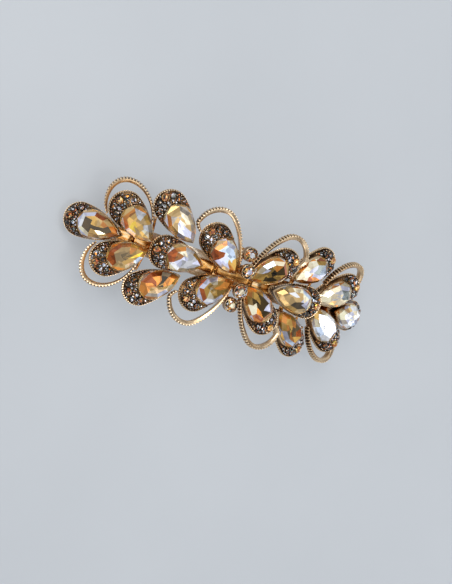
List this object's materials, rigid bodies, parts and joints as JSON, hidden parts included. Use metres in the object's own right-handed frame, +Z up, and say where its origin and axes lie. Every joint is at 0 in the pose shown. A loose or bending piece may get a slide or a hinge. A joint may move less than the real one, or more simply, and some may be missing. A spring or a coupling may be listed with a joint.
{
  "type": "rhinestone hair clip",
  "caption": "Arched rhinestone barrette: two mirrored wings of pear-stone petals with ribbon loops over an automatic French clip with a hinged arm and squeeze catch.",
  "frame": {"origin": "on the standing surface, under the middle of the clip", "axes": "+X along the clip towards the clasp, +Y across it, +Z up through the ornament"},
  "size_m": [0.114, 0.0394, 0.024],
  "materials": {
    "antique_gold": "antique rose-gold plating over cast metal, satin with darker recesses",
    "champagne_glass": "faceted, foil backed, champagne with a pale iridescent sheen",
    "chaton_glass": "faceted, foil backed, smoky champagne",
    "plated_steel": "pale gold plated stamped steel",
    "spring_steel": "bright rolled spring steel"
  },
  "bodies": {
    "clip_body": {"base_bar": "plated_steel", "bow_spring": "spring_steel", "chaton_1": "chaton_glass", "chaton_2": "chaton_glass", "chaton_3": "chaton_glass", "chaton_4": "chaton_glass", "chaton_cup_1": "antique_gold", "chaton_cup_2": "antique_gold", "chaton_cup_3": "antique_gold", "chaton_cup_4": "antique_gold", "clasp_saddle": "plated_steel", "hinge_pin": "plated_steel", "ornament_frame": "antique_gold", "pear_stone_left_inner_back": "champagne_glass", "pear_stone_left_inner_front": "champagne_glass", "pear_stone_left_mid": "champagne_glass", "pear_stone_left_outer_back": "champagne_glass", "pear_stone_left_outer_front": "champagne_glass", "pear_stone_left_side_back": "champagne_glass", "pear_stone_left_side_front": "champagne_glass", "pear_stone_left_tip": "champagne_glass", "pear_stone_right_inner_back": "champagne_glass", "pear_stone_right_inner_front": "champagne_glass", "pear_stone_right_mid": "champagne_glass", "pear_stone_right_outer_back": "champagne_glass", "pear_stone_right_outer_front": "champagne_glass", "pear_stone_right_side_back": "champagne_glass", "pear_stone_right_side_front": "champagne_glass", "pear_stone_right_tip": "champagne_glass", "petal_cup_left_inner_back": "antique_gold", "petal_cup_left_inner_front": "antique_gold", "petal_cup_left_mid": "antique_gold", "petal_cup_left_outer_back": "antique_gold", "petal_cup_left_outer_front": "antique_gold", "petal_cup_left_side_back": "antique_gold", "petal_cup_left_side_front": "antique_gold", "petal_cup_left_tip": "antique_gold", "petal_cup_right_inner_back": "antique_gold", "petal_cup_right_inner_front": "antique_gold", "petal_cup_right_mid": "antique_gold", "petal_cup_right_outer_back": "antique_gold", "petal_cup_right_outer_front": "antique_gold", "petal_cup_right_side_back": "antique_gold", "petal_cup_right_side_front": "antique_gold", "petal_cup_right_tip": "antique_gold", "ribbon_loop_left_inner_back": "antique_gold", "ribbon_loop_left_inner_front": "antique_gold", "ribbon_loop_left_outer_back": "antique_gold", "ribbon_loop_left_outer_front": "antique_gold", "ribbon_loop_right_inner_back": "antique_gold", "ribbon_loop_right_inner_front": "antique_gold", "ribbon_loop_right_outer_back": "antique_gold", "ribbon_loop_right_outer_front": "antique_gold", "rivet_left": "plated_steel", "rivet_right": "plated_steel"},
    "arm": {"swing_arm": "plated_steel"},
    "catch_back": {"clasp_finger_back": "plated_steel"},
    "catch_front": {"clasp_finger_front": "plated_steel"}
  },
  "joints": [
    {"name": "arm_hinge", "type": "hinge", "parent": "clip_body", "child": "arm", "pos_m": [-0.0385, 0, 0.0028], "axis": [0, 1, 0], "range_deg": [0, 75], "deforming": ["bow_spring"]},
    {"name": "catch_back_squeeze", "type": "hinge", "parent": "clip_body", "child": "catch_back", "pos_m": [0.0385, 0.0016, 0.0036], "axis": [-1, 0, 0], "range_deg": [0, 12], "stiffness_Nm_per_rad": 0.006},
    {"name": "catch_front_squeeze", "type": "hinge", "parent": "clip_body", "child": "catch_front", "pos_m": [0.0385, -0.0016, 0.0036], "axis": [1, 0, 0], "range_deg": [0, 12], "stiffness_Nm_per_rad": 0.006}
  ],
  "couplings": [
    {"joint": "catch_front_squeeze", "follows": "catch_back_squeeze", "ratio": 1}
  ]
}
